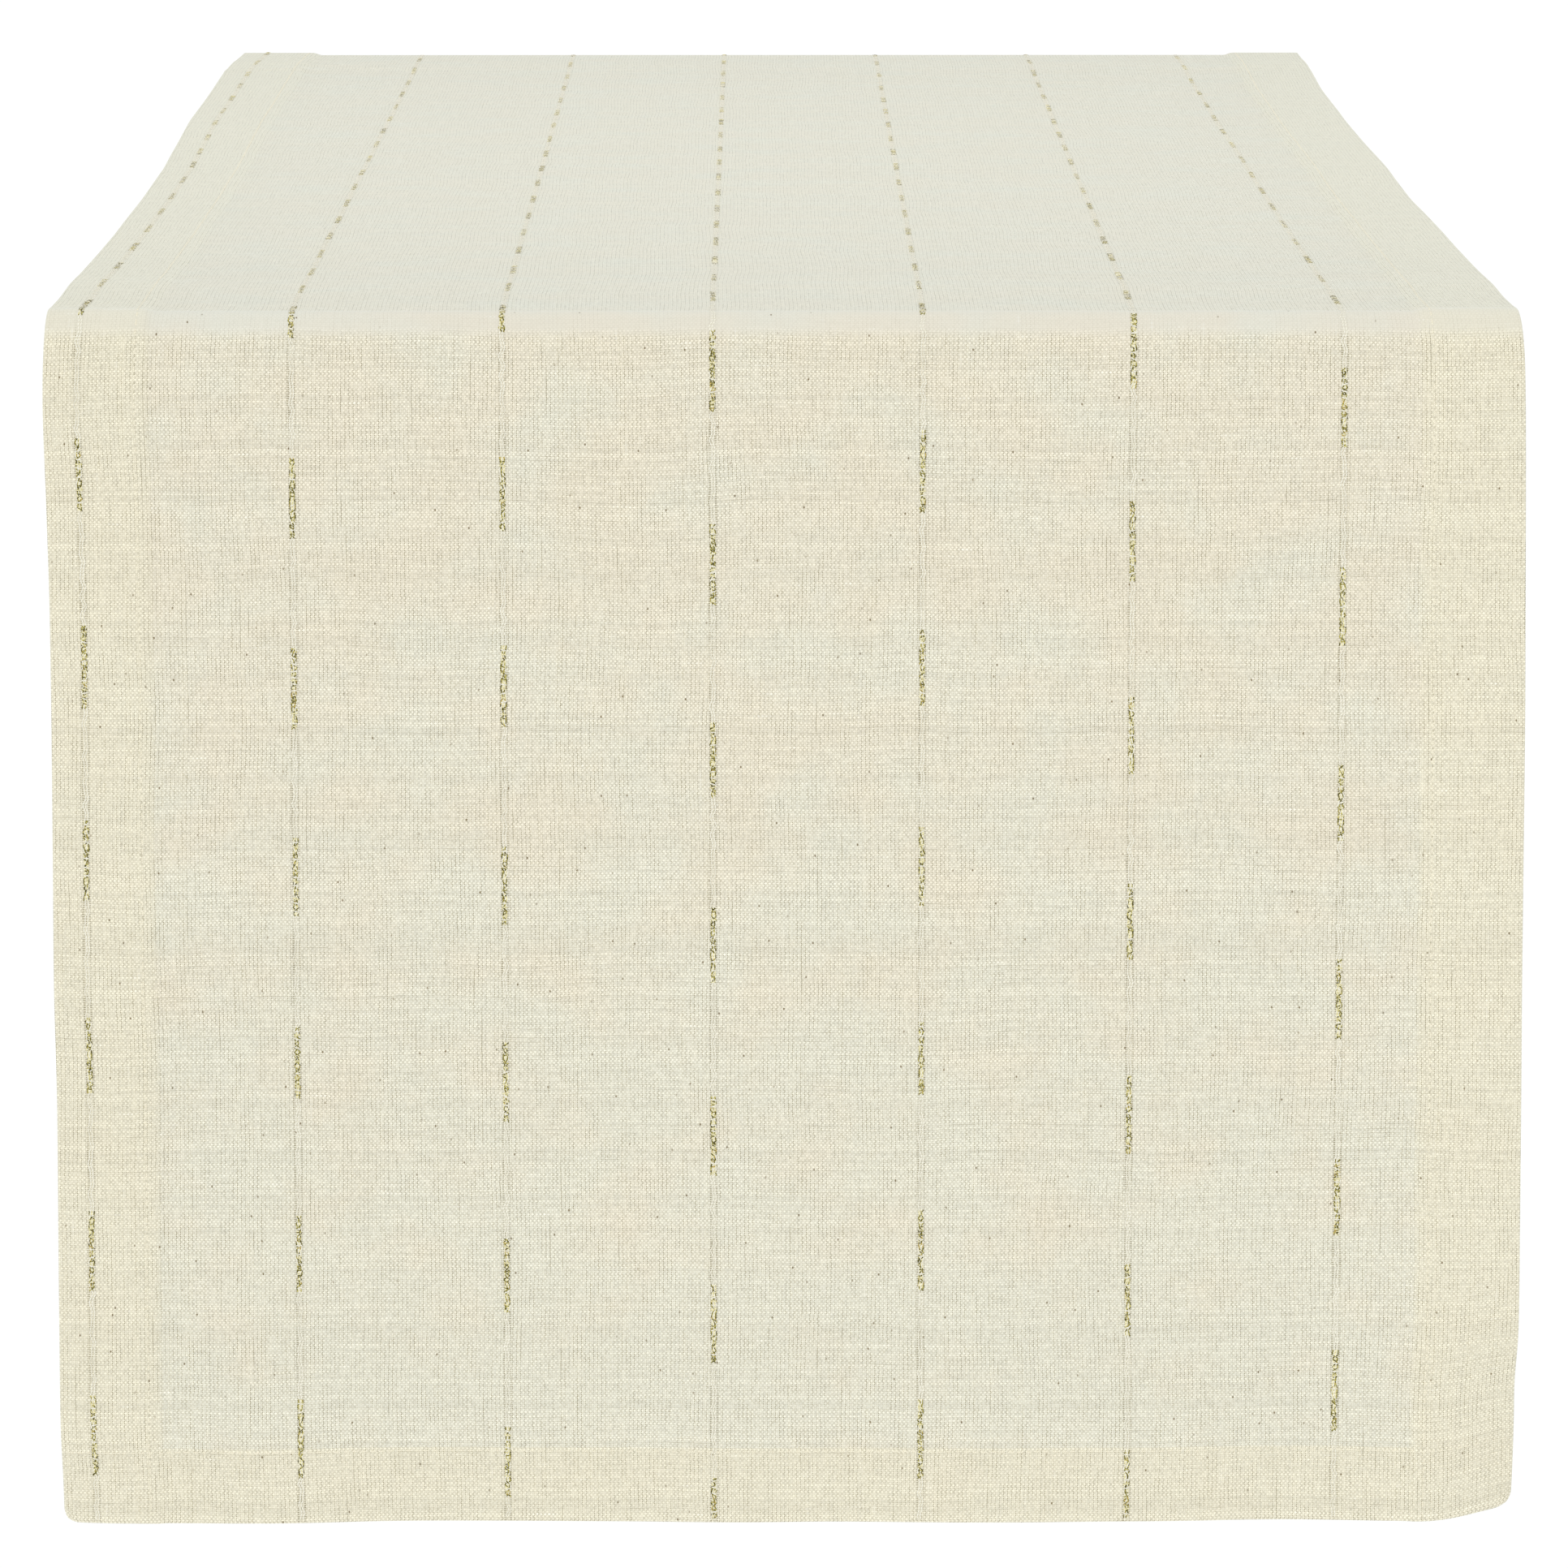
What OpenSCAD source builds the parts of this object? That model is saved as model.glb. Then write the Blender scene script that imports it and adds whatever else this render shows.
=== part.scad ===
// Table runner: a hemmed length of plain-weave cotton, draped along a table
// so that its middle lies flat and its two ends hang down.
//
// The cloth is one long strip. It is drawn as it lies on the table: a level
// panel on top, a round bend over each table edge, and a hanging panel at
// each end. All edges are double-turned hems, sewn with one row of stitches.
// Seven decorative stripe yarns run the whole length of the face.
//
// Frame, in millimetres: +Z up, +Y towards the back of the table, and +X
// across the runner. The origin is the middle of the level panel's underside,
// where the runner rests on the table top.

/* [Runner] */
// Finished width, edge to edge
runner_w = 457.2; // [350:0.1:560]
// Finished length, measured along the cloth from end to end
runner_l = 1828.8; // [1500:0.1:2400]
// Thickness of one layer of the cloth
cloth_t = 0.5; // [0.3:0.05:0.8]

/* [Table under the runner] */
// Length of the table top that the runner covers, face to face
table_l = 1066.8; // [700:0.1:1300]
// Radius of the table's rounded edge, which the underside of the cloth follows
edge_r = 5; // [3:0.5:10]

/* [Hems] */
// Depth of the hem down each long side
side_hem_d = 29.5; // [12:0.5:45]
// Depth of the hem across each end
end_hem_d = 24.5; // [12:0.5:45]
// Width of the soft step where the face drops from a side hem to one layer
hem_step_w = 4; // [2:0.5:8]

/* [Stitching] */
// Distance from a hem's inner edge to its row of stitches
stitch_inset = 1.5; // [1:0.1:4]
// Width of the laid thread
stitch_w = 0.5; // [0.3:0.05:0.8]
// Height of the laid thread above the face
stitch_h = 0.15; // [0.1:0.05:0.25]

/* [Stripe yarns] */
// Width of one stripe yarn
stripe_w = 2.1; // [1:0.1:4]
// Height of a stripe yarn above the face
stripe_h = 0.4; // [0.35:0.05:0.8]
// Plain cloth from the left edge to the middle of the first stripe
stripe_left_margin = 10.6; // [4:0.1:24]
// Plain cloth from the middle of the last stripe to the right edge
stripe_right_margin = 55.4; // [40:0.1:80]

/* [Clearance] */
// Least gap kept between the level panel and a bend as a hanging end is lifted
swing_clearance = 0.3; // [0.2:0.05:1]

/* [Hidden] */
STRIPES = 7;
$fn = 64;

CREAM = [0.92, 0.90, 0.82];
HEM_CREAM = [0.95, 0.93, 0.84];
THREAD = [0.97, 0.96, 0.90];
GOLD = [0.72, 0.60, 0.22];

half_w = runner_w / 2;
hem_t = 2 * cloth_t;                       // the two layers turned under
nose_r = (hem_t + cloth_t) / 2;            // round outer edge, all three layers
hem_start = half_w - side_hem_d;           // where the side hem begins
step_start = hem_start - hem_step_w;       // where the face starts to rise
nose_x = half_w - nose_r;
NOSE_STEPS = 8;

// The bend's length is taken along the middle of the single layer
flat_l = table_l - 2 * edge_r;
bend_l = PI / 2 * (edge_r + cloth_t / 2);
hang_l = (runner_l - flat_l) / 2 - bend_l;

// A hanging end is lifted about a line this far out from, and this far above,
// the middle of its bend's arc. That is half the bend's length, so the lifted
// end lies level just where the unrolled cloth would reach.
hinge_offset = bend_l / 2;
bend_outer_r = edge_r + hem_t + cloth_t + stripe_h;
// How far the bend's upper corner swings in over the level panel's end
swing_in = norm([hinge_offset, bend_outer_r - hinge_offset]) - hinge_offset;
top_l = flat_l - 2 * (swing_in + swing_clearance);

stripe_pitch = (runner_w - stripe_left_margin - stripe_right_margin) / (STRIPES - 1);
stitch_x = hem_start + stitch_inset;
end_stitch_z = hang_l - end_hem_d + stitch_inset;   // measured down the hanging panel
CROSSING = 0.3;                                      // clear space where two rows cross

// Height of the face above the table side, at a place across the runner
function face_n(x) =
    abs(x) <= step_start ? cloth_t :
    abs(x) >= hem_start ? cloth_t + hem_t :
    cloth_t + hem_t * (abs(x) - step_start) / hem_step_w;

// Middle of stripe i, counted from 1 at the left edge
function stripe_x(i) = -half_w + stripe_left_margin + (i - 1) * stripe_pitch;

// Places across the runner, from x0 to x1, where the face changes slope
function stations(x0, x1) = concat(
    [x0],
    [for (x = [-hem_start, -step_start, step_start, hem_start]) if (x > x0 && x < x1) x],
    [x1]
);

// Section of something laid on the face from x0 to x1, as [across, height] points
function laid(x0, x1, h) =
    let (xs = stations(x0, x1))
    concat(
        [for (x = xs) [x, face_n(x)]],
        [for (i = [len(xs) - 1 : -1 : 0]) [xs[i], face_n(xs[i]) + h]]
    );

// Round outer edge on one side: 1 is right, -1 is left, from underside to face
function nose(side) = [
    for (i = [0 : NOSE_STEPS])
        let (a = -90 + 180 * i / NOSE_STEPS)
        [side * (nose_x + nose_r * cos(a)), nose_r + nose_r * sin(a)]
];

// Section of the cloth itself: one layer, raised over the side hems
function cloth_section() = concat(
    [[-step_start, 0], [step_start, 0], [hem_start, hem_t], [nose_x, hem_t]],
    nose(1),
    [[hem_start, hem_t + cloth_t], [step_start, cloth_t]],
    [[-step_start, cloth_t], [-hem_start, hem_t + cloth_t]],
    [for (i = [NOSE_STEPS : -1 : 0]) nose(-1)[i]],
    [[-nose_x, hem_t], [-hem_start, hem_t]]
);

// Section of the two layers turned under at one side
function hem_section(side) = [
    [side * hem_start, 0], [side * nose_x, 0],
    [side * nose_x, hem_t], [side * hem_start, hem_t]
];

function stitch_section(side) = laid(
    side * stitch_x - stitch_w / 2,
    side * stitch_x + stitch_w / 2,
    stitch_h
);

function stripe_section(i) = laid(
    stripe_x(i) - stripe_w / 2,
    stripe_x(i) + stripe_w / 2,
    stripe_h
);

// A section with its underside raised off the face by h
function lifted(section, h) = [
    for (p = section) [p[0], max(p[1], face_n(p[0]) + h)]
];

// A section run along the level panel
module level(section) {
    translate([0, top_l / 2, 0])
        rotate([90, 0, 0])
            linear_extrude(top_l)
                polygon(section);
}

// A section run round the front table edge
module bend(section) {
    translate([0, -flat_l / 2, -edge_r])
        rotate([0, 90, 0])
            rotate([0, 0, 180])
                rotate_extrude(angle = 90)
                    polygon([for (p = section) [edge_r + p[1], p[0]]]);
}

// A section hung from the front bend, from z0 to z1 measured down the panel
module hang(section, z0, z1) {
    translate([0, -table_l / 2, -edge_r - z0])
        rotate([180, 0, 0])
            linear_extrude(z1 - z0)
                polygon(section);
}

// The back end is the front end seen in a mirror
module at_end(end) {
    if (end == "back")
        mirror([0, 1, 0])
            children();
    else
        children();
}

module top_panel() {
    color(CREAM) level(cloth_section());
}

module top_hem(side) {
    color(HEM_CREAM) level(hem_section(side));
}

module top_stitch(side) {
    color(THREAD) level(stitch_section(side));
}

module top_stripe(i) {
    color(GOLD) level(stripe_section(i));
}

module end_fold(end) {
    color(CREAM) at_end(end) bend(cloth_section());
}

module end_panel(end) {
    color(CREAM) at_end(end) hang(cloth_section(), 0, hang_l);
}

module end_side_hem(end, side) {
    color(HEM_CREAM)
        at_end(end)
            union() {
                bend(hem_section(side));
                hang(hem_section(side), 0, hang_l);
            }
}

// The end hem lies behind the hanging panel, over the full width
module end_hem(end) {
    color(HEM_CREAM)
        at_end(end)
            hang([[-half_w, -hem_t], [half_w, -hem_t], [half_w, 0], [-half_w, 0]],
                 hang_l - end_hem_d, hang_l);
}

// A side row stops short of the end row and goes on below it to the edge
module end_side_stitch(end, side) {
    reach = stitch_w / 2 + CROSSING;
    color(THREAD)
        at_end(end)
            union() {
                bend(stitch_section(side));
                hang(stitch_section(side), 0, end_stitch_z - reach);
                hang(stitch_section(side), end_stitch_z + reach, hang_l);
            }
}

module end_stitch(end) {
    color(THREAD)
        at_end(end)
            hang(laid(-nose_x, nose_x, stitch_h),
                 end_stitch_z - stitch_w / 2, end_stitch_z + stitch_w / 2);
}

// The end row of stitches passes under each stripe yarn, in a small tunnel
module end_stripe(end, i) {
    reach = stitch_w / 2 + CROSSING;
    tunnel_h = (stitch_h + stripe_h) / 2;
    color(GOLD)
        at_end(end)
            union() {
                bend(stripe_section(i));
                hang(stripe_section(i), 0, end_stitch_z - reach);
                hang(lifted(stripe_section(i), tunnel_h), end_stitch_z - reach, end_stitch_z + reach);
                hang(stripe_section(i), end_stitch_z + reach, hang_l);
            }
}

top_panel();
top_hem(-1);  // top_hem_left
top_hem(1);  // top_hem_right
top_stitch(-1);  // top_stitch_left
top_stitch(1);  // top_stitch_right
for (i = [1 : STRIPES]) {
    top_stripe(i);
}
for (end = ["front", "back"]) {
    end_fold(end);
    end_panel(end);
    end_side_hem(end, -1);
    end_side_hem(end, 1);
    end_hem(end);
    end_side_stitch(end, -1);
    end_side_stitch(end, 1);
    end_stitch(end);
    for (i = [1 : STRIPES]) {
        end_stripe(end, i);
    }
}
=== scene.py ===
"""A striped cotton table runner, laid flat along a table with both ends hanging down."""

import logging
import math
from dataclasses import dataclass, field
from enum import Enum

import bpy
import numpy as np
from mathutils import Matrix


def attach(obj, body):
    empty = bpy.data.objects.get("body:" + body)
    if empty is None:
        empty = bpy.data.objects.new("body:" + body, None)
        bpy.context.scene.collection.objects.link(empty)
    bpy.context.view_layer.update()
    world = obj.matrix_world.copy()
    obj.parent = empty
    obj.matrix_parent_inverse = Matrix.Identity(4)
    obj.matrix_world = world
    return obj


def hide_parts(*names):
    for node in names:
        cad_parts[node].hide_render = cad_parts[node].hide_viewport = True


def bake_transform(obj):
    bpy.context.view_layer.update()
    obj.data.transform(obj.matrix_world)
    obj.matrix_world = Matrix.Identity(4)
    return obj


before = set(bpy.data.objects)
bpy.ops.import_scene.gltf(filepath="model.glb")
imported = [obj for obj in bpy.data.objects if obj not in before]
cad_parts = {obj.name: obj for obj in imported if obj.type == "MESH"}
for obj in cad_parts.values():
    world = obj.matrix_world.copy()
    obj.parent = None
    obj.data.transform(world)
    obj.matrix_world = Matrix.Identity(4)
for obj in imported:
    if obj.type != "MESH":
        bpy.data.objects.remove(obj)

log = logging.getLogger("table_runner")
MM = 0.001
FIRST_STRIPE = -218.0 * MM
STRIPE_SETT = 65.2 * MM
LAY = "lay"


class End(Enum):
    """The two halves of the runner, each named for the end that it hangs over."""

    FRONT = "front"
    BACK = "back"

    @property
    def sign(self) -> float:
        """+1 where the way along the cloth leads to -Y, and -1 where it leads to +Y."""
        return 1.0 if self is End.FRONT else -1.0

    @property
    def drop(self) -> str:
        """The name of the body that hangs at this end."""
        return f"{self.value}_drop"


class Edge(Enum):
    """The two long edges of the runner."""

    LEFT = "left"
    RIGHT = "right"

    @property
    def sign(self) -> float:
        """-1 on the left and +1 on the right."""
        return -1.0 if self is Edge.LEFT else 1.0


def srgb(red: float, green: float, blue: float) -> tuple[float, float, float, float]:
    """Turns a display colour of 0 to 255 into the linear colour that a shader takes.

    Args:
        red: The red part.
        green: The green part.
        blue: The blue part.

    Returns:
        The linear colour with an alpha of one.
    """
    parts = []
    for part in (red, green, blue):
        share = part / 255.0
        parts.append(share / 12.92 if share <= 0.04045 else ((share + 0.055) / 1.055) ** 2.4)
    return (parts[0], parts[1], parts[2], 1.0)


def ease(value: np.ndarray, low: float, high: float) -> np.ndarray:
    """A smooth step from 0 at low to 1 at high.

    Args:
        value: The values to ease.
        low: Where the step starts.
        high: Where the step ends.

    Returns:
        The eased values.
    """
    share = np.clip((value - low) / (high - low), 0.0, 1.0)
    return share * share * (3.0 - 2.0 * share)


@dataclass(frozen=True)
class ClothPlan:
    """The runner's cut and hem sizes in metres, as sewn."""

    half_width: float = 228.6 * MM
    half_length: float = 914.4 * MM
    ply: float = 0.5 * MM
    flat_half: float = 526.4 * MM
    fold_radius: float = 7.0 * MM
    hem_start: float = 199.1 * MM
    step_start: float = 195.1 * MM
    seam_u: float = 200.6 * MM
    seam_v: float = 891.4 * MM
    end_hem: float = 24.5 * MM
    stitch_pitch: float = 2.8 * MM

    @property
    def bend_length(self) -> float:
        """The length of the cloth's middle in the quarter turn over the table's edge."""
        return (self.fold_radius + self.ply / 2) * math.pi / 2

    @property
    def hang_start(self) -> float:
        """The way along the cloth at which it hangs straight."""
        return self.flat_half + self.bend_length


@dataclass
class Drape:
    """Says where every point of the cloth lies once it is on the table.

    A point is given by u, its way across from the middle line, v, its way along from the
    runner's middle, and n, its height over the cloth's underside.
    """

    plan: ClothPlan
    left_wander: tuple = (
        (-915, -0.6), (-700, 0.4), (-560, -0.8), (-530, -1.6), (-421, -3.6), (-335, -2.7),
        (-175, -1.8), (-28, 0.8), (40, 2.4), (169, 3.0), (287, 3.2), (397, 1.9), (449, 1.5),
        (498, 1.3), (526, 0.4), (545, -1.1), (560, -1.4), (590, -0.6), (620, 0.0), (652, 0.1),
        (744, -0.3), (775, 0.2), (885, -0.2), (901, 0.5), (915, 0.7),
    )
    right_wander: tuple = (
        (-915, 0.5), (-700, -0.6), (-560, -1.8), (-530, -2.7), (-421, -3.6), (-335, -5.4),
        (-175, -6.6), (-28, -6.0), (40, -5.5), (169, -6.3), (287, -4.8), (397, -4.1),
        (449, -3.5), (498, -2.7), (526, -1.6), (541, 0.5), (560, 1.0), (590, 1.4),
        (652, 2.1), (744, 2.3), (775, 2.5), (838, 2.8), (860, 2.8), (870, 1.7), (885, 2.0),
        (903, 1.8), (915, 1.3),
    )
    left_corner: float = 5.0 * MM
    right_corner: float = 5.5 * MM
    corner_rise: float = 4.2 * MM
    _walk: np.ndarray = field(init=False, repr=False)
    _left: np.ndarray = field(init=False, repr=False)
    _right: np.ndarray = field(init=False, repr=False)

    def __post_init__(self) -> None:
        """Smooths the two edge tables once."""
        self._walk = np.arange(-940.0, 941.0, 2.0) * MM
        self._left = self._smooth(self.left_wander)
        self._right = self._smooth(self.right_wander)

    def _smooth(self, table: tuple) -> np.ndarray:
        """Turns a table of places and offsets in millimetres into a smooth run in metres.

        Args:
            table: Pairs of the way along and the offset.

        Returns:
            The offset at each step of the walk.
        """
        way, offset = np.array(table, dtype=float).T * MM
        rough = np.interp(self._walk, way, offset)
        window = np.hanning(15)
        padded = np.pad(rough, 7, mode="edge")
        return np.convolve(padded, window / window.sum(), mode="valid")

    def rise(self, u: np.ndarray) -> np.ndarray:
        """How far the side hem lifts the cloth at each way across.

        Args:
            u: The way across.

        Returns:
            The lift in metres.
        """
        return 2 * self.plan.ply * ease(np.abs(u), self.plan.step_start, self.plan.hem_start)

    def face(self, u: np.ndarray) -> np.ndarray:
        """The height of the cloth's upper face at each way across.

        Args:
            u: The way across.

        Returns:
            The height over the underside in metres.
        """
        return self.rise(u) + self.plan.ply

    def sway(self, u: np.ndarray, s: np.ndarray) -> np.ndarray:
        """The soft hills of the cloth, out from its face, which make it lie like fabric.

        Args:
            u: The way across.
            s: The way along, positive to the front.

        Returns:
            The height of the hills in metres.
        """
        v = np.abs(s)
        down = np.clip((v - self.plan.hang_start) / (self.plan.half_length - self.plan.hang_start), 0, 1)
        turn = np.where(s > 0, 0.0, 1.9)
        swing = down ** 0.8 * MM * (
            1.2 * np.sin(math.tau * u / 0.233 + 0.6 + turn)
            + 0.8 * np.sin(math.tau * u / 0.131 + 2.1 + 1.4 * down + turn)
            + 0.35 * np.sin(math.tau * u / 0.071 + 3.0 * down + 2 * turn)
        )
        ripple = ease(v, self.plan.hang_start, self.plan.hang_start + 0.05) * MM * (
            0.14 * np.sin(math.tau * (u * 0.35 + v) / 0.093 + 1.0 + turn)
            + 0.10 * np.sin(math.tau * (u - 0.4 * v) / 0.047 + 2.0 + turn)
        )
        curl = -5.5 * MM * ease(u, 0.190, 0.231) ** 2 * ease(s, 0.835, 0.915)
        curl = curl - 1.6 * MM * ease(-u, 0.205, 0.231) ** 2 * ease(s, 0.87, 0.915)
        table = 1.0 - ease(v, self.plan.flat_half - 0.02, self.plan.flat_half)
        hills = table * MM * (
            0.16 * (1 + np.sin(math.tau * s / 0.21 + 2.2 * np.sin(math.tau * u / 0.5) + 0.7))
            + 0.10 * (1 + np.sin(math.tau * (u + 0.3 * s) / 0.16 + 1.1))
            + 0.55 * np.exp(-(((v - 0.462) / 0.030) ** 2))
        )
        creases = np.zeros_like(u)
        for way, across, reach, height, slant in (
            (-0.372, 0.120, 0.060, 0.50, 0.35), (-0.402, 0.040, 0.075, 0.42, -0.22),
            (-0.318, 0.165, 0.045, 0.46, 0.60), (-0.437, 0.150, 0.055, 0.55, -0.15),
            (-0.452, -0.175, 0.040, 0.60, 0.25), (-0.431, -0.205, 0.025, 0.55, -0.40),
            (-0.250, 0.110, 0.050, 0.30, 0.20), (0.455, 0.020, 0.160, 0.30, 0.05),
        ):
            line = (s - way) - slant * (u - across)
            creases = creases + height * MM * np.exp(-((line / 0.008) ** 2)) * np.exp(
                -(((u - across) / reach) ** 2)
            )
        return swing + ripple + curl + hills + creases * table

    def place(self, end: End, u: np.ndarray, v: np.ndarray, n: np.ndarray) -> np.ndarray:
        """Finds the points of the cloth in the room.

        Args:
            end: The half of the runner.
            u: The way across.
            v: The way along from the middle.
            n: The height over the underside.

        Returns:
            One row of x, y and z for each point.
        """
        u, v, n = np.broadcast_arrays(
            np.asarray(u, dtype=float), np.asarray(v, dtype=float), np.asarray(n, dtype=float)
        )
        plan = self.plan
        s = v * end.sign
        pull = np.where(u < 0, np.interp(s, self._walk, self._left), np.interp(s, self._walk, self._right))
        across = u + pull * ease(np.abs(u), 0.150, plan.half_width)
        along = v - self.corner_rise * ease(u, 0.196, 0.2315) ** 1.4 * ease(s, 0.80, 0.905)
        radius = np.where(u < 0, self.left_corner, self.right_corner)
        side = np.clip((np.abs(u) - plan.half_width) / radius + 1.0, 0.0, 1.0)
        last = np.clip((v - plan.half_length) / radius + 1.0, 0.0, 1.0)
        across = across - np.sign(u) * radius * side * (1.0 - np.sqrt(1.0 - last * last / 2)) * (last > 0)
        along = along - radius * last * (1.0 - np.sqrt(1.0 - side * side / 2)) * (side > 0)
        height = n + self.sway(u, s)
        turn = np.clip((along - plan.flat_half) / (plan.fold_radius + plan.ply / 2), 0.0, math.pi / 2)
        hang = np.maximum(along - plan.flat_half - plan.bend_length, 0.0)
        out = np.minimum(along, plan.flat_half) + (plan.fold_radius + height) * np.sin(turn)
        up = -plan.fold_radius + (plan.fold_radius + height) * np.cos(turn) - hang
        return np.stack([across, -end.sign * out, up], axis=-1)


@dataclass
class Shell:
    """A mesh in the making: its points, faces, lay coordinates and finish numbers."""

    points: list = field(default_factory=list)
    faces: list = field(default_factory=list)
    lay: list = field(default_factory=list)
    finish: list = field(default_factory=list)
    count: int = 0

    def add(self, points: np.ndarray, faces: list, lay: np.ndarray, finish: int = 0) -> None:
        """Adds a part with its own points.

        Args:
            points: One row of x, y and z for each point.
            faces: Tuples of point numbers within this part.
            lay: One row of lay coordinates for each point.
            finish: The number of the part's finish.
        """
        self.points.append(points)
        self.lay.append(lay)
        base = self.count
        self.faces.extend(tuple(base + index for index in face) for face in faces)
        self.finish.extend([finish] * len(faces))
        self.count += len(points)

    def build(self, name: str, materials: list, crease: float = 50.0) -> bpy.types.Object:
        """Makes the object from all the parts.

        Args:
            name: The piece's name.
            materials: The finishes by number.
            crease: The angle in degrees past which an edge stays sharp.

        Returns:
            The new object, at the origin.
        """
        mesh = bpy.data.meshes.new(name)
        mesh.from_pydata(np.concatenate(self.points).tolist(), [], self.faces)
        table = np.concatenate(self.lay)
        layer = mesh.uv_layers.new(name=LAY)
        corners = np.empty(len(mesh.loops), dtype=np.int32)
        mesh.loops.foreach_get("vertex_index", corners)
        layer.data.foreach_set("uv", table[corners].astype(np.float32).ravel())
        mesh.polygons.foreach_set("material_index", self.finish)
        for material in materials:
            mesh.materials.append(material)
        piece = bpy.data.objects.new(name, mesh)
        bpy.context.collection.objects.link(piece)
        pick(piece)
        bpy.ops.object.shade_smooth_by_angle(angle=math.radians(crease))
        return piece


def pick(piece: bpy.types.Object) -> None:
    """Selects one object alone and makes it the active one."""
    bpy.ops.object.select_all(action="DESELECT")
    piece.select_set(True)
    bpy.context.view_layer.objects.active = piece


def face_outwards(piece: bpy.types.Object) -> None:
    """Turns the faces of closed shells outwards."""
    pick(piece)
    bpy.ops.object.mode_set(mode="EDIT")
    bpy.ops.mesh.select_all(action="SELECT")
    bpy.ops.mesh.normals_make_consistent(inside=False)
    bpy.ops.object.mode_set(mode="OBJECT")


def thicken(piece: bpy.types.Object, thickness: float) -> None:
    """Gives a sheet its thickness on both sides and turns its faces outwards.

    Args:
        piece: The sheet.
        thickness: The whole thickness in metres.
    """
    pick(piece)
    wall = piece.modifiers.new("ply", "SOLIDIFY")
    wall.thickness = thickness
    wall.offset = 0.0
    wall.use_even_offset = False
    bpy.ops.object.modifier_apply(modifier=wall.name)
    face_outwards(piece)
    bpy.ops.object.shade_smooth_by_angle(angle=math.radians(55.0))


def grid_faces(rows: int, columns: int) -> list:
    """The quads of a grid of points.

    Args:
        rows: How many rows of points there are.
        columns: How many points a row has.

    Returns:
        One tuple of four point numbers for each quad.
    """
    faces = []
    for row in range(rows - 1):
        for column in range(columns - 1):
            first = row * columns + column
            faces.append((first, first + 1, first + columns + 1, first + columns))
    return faces


def steps(*stops: tuple[float, float]) -> np.ndarray:
    """Walks through stops, each reached in strides no longer than the one given with it.

    Args:
        stops: Pairs of a place and the longest stride on the way to it.

    Returns:
        The places walked through.
    """
    walk = [stops[0][0]]
    for (start, _), (goal, stride) in zip(stops, stops[1:]):
        count = max(1, math.ceil(abs(goal - start) / stride - 1e-6))
        walk.extend(start + (goal - start) * (index + 1) / count for index in range(count))
    return np.array(walk)


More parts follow.
